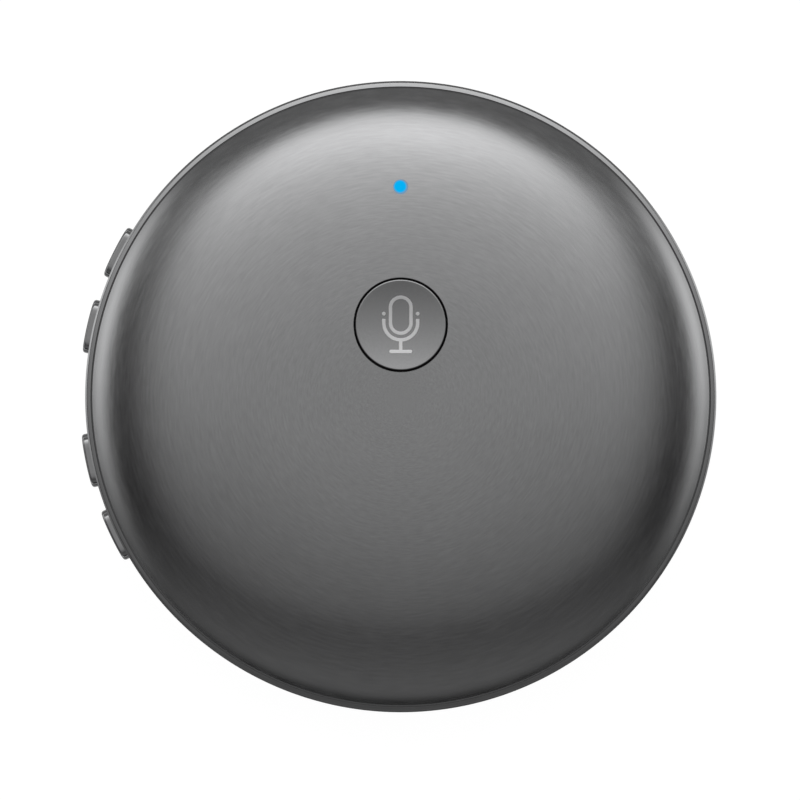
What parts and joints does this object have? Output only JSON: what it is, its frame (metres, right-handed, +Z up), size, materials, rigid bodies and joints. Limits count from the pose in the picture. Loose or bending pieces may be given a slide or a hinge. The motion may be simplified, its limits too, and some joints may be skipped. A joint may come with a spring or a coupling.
{
  "type": "handheld translator",
  "caption": "Round puck-shaped handheld voice translator with a domed brushed shell, a dished talk button, a status light and sprung side buttons in its rim.",
  "frame": {"origin": "centre of the base, on the surface that the translator lies on", "axes": "+Z up, out of the domed face; +Y from the centre towards the talk button and the status light; the side buttons are at -X and the charging socket is at -Y"},
  "size_m": [0.0665, 0.066, 0.016],
  "materials": {
    "shell_metal": "spun brushed, gunmetal anodised, satin",
    "rim_metal": "brushed along the rim, gunmetal anodised",
    "lower_shell_metal": "spun brushed, gunmetal anodised, satin",
    "talk_metal": "fine satin gunmetal with a bright edge",
    "side_button_metal": "satin gunmetal with rounded edges",
    "symbol_silver": "satin silver inlay",
    "foot_rubber": "matt soft rubber",
    "screw_steel": "machined steel",
    "insert_brass": "turned brass",
    "switch_plastic": "moulded",
    "plunger_plastic": "moulded",
    "led_white": "clear-topped chip",
    "board_green": "solder mask",
    "chip_black": "moulded package",
    "can_metal": "tinned sheet",
    "pale_ceramic": "fired chip",
    "tan_ceramic": "fired chips",
    "cell_foil": "dull laminate foil",
    "tape_white": "adhesive tape",
    "lead_red": "insulated wires",
    "lead_black": "insulated wires",
    "plug_white": "moulded",
    "speaker_plastic": "moulded basket",
    "magnet_steel": "plated cup",
    "cone_paper": "coated cone",
    "gasket_foam": "closed-cell foam",
    "mesh_cloth": "fine acoustic cloth",
    "mic_metal": "plated cap",
    "boot_rubber": "moulded silicone",
    "socket_steel": "drawn and plated",
    "tongue_plastic": "moulded",
    "light_blue": "clear light pipe, lit blue"
  },
  "bodies": {
    "case": {"top_shell": "shell_metal", "rim_frame": "rim_metal", "bottom_shell": "lower_shell_metal", "foot_ring": "foot_rubber", "case_screws": "screw_steel", "threaded_inserts": "insert_brass", "talk_switch": "switch_plastic", "status_led": "led_white", "light_pipe": "light_blue", "main_board": "board_green", "processor": "chip_black", "memory_chip": "chip_black", "shield_can": "can_metal", "radio_module": "can_metal", "chip_antenna": "pale_ceramic", "audio_amplifier": "chip_black", "charging_chip": "chip_black", "board_components": "tan_ceramic", "battery": "cell_foil", "battery_protection_board": "board_green", "battery_tape": "tape_white", "battery_lead": "lead_red", "battery_plug": "plug_white", "battery_socket": "plug_white", "speaker_frame": "speaker_plastic", "speaker_magnet": "magnet_steel", "speaker_cone": "cone_paper", "speaker_gasket": "gasket_foam", "speaker_mesh": "mesh_cloth", "speaker_pad": "gasket_foam", "speaker_lead": "lead_black", "talk_microphone": "mic_metal", "talk_microphone_boot": "boot_rubber", "rear_microphone": "mic_metal", "rear_microphone_boot": "boot_rubber", "usb_shell": "socket_steel", "usb_tongue": "tongue_plastic", "power_switch": "switch_plastic", "language_switch": "switch_plastic", "volume_up_switch": "switch_plastic", "volume_down_switch": "switch_plastic"},
    "talk_key": {"talk_button": "talk_metal", "mic_symbol": "symbol_silver", "talk_switch_plunger": "plunger_plastic"},
    "power_key": {"power_button": "side_button_metal", "power_plunger": "plunger_plastic"},
    "language_key": {"language_button": "side_button_metal", "language_plunger": "plunger_plastic"},
    "volume_up_key": {"volume_up_button": "side_button_metal", "volume_up_plunger": "plunger_plastic"},
    "volume_down_key": {"volume_down_button": "side_button_metal", "volume_down_plunger": "plunger_plastic"}
  },
  "joints": [
    {"name": "talk_press", "type": "slide", "parent": "case", "child": "talk_key", "axis": [0, 0, -1], "range_m": [0, 0.00035], "stiffness_N_per_m": 4000, "springref_m": -0.0001},
    {"name": "power_press", "type": "slide", "parent": "case", "child": "power_key", "axis": [0.8906, -0.4548, 0], "range_m": [0, 0.0003], "stiffness_N_per_m": 4000, "springref_m": -0.0001},
    {"name": "language_press", "type": "slide", "parent": "case", "child": "language_key", "axis": [0.9751, -0.2215, 0], "range_m": [0, 0.0003], "stiffness_N_per_m": 4000, "springref_m": -0.0001},
    {"name": "volume_up_press", "type": "slide", "parent": "case", "child": "volume_up_key", "axis": [0.9796, 0.2011, 0], "range_m": [0, 0.0003], "stiffness_N_per_m": 4000, "springref_m": -0.0001},
    {"name": "volume_down_press", "type": "slide", "parent": "case", "child": "volume_down_key", "axis": [0.8999, 0.436, 0], "range_m": [0, 0.0003], "stiffness_N_per_m": 4000, "springref_m": -0.0001}
  ]
}
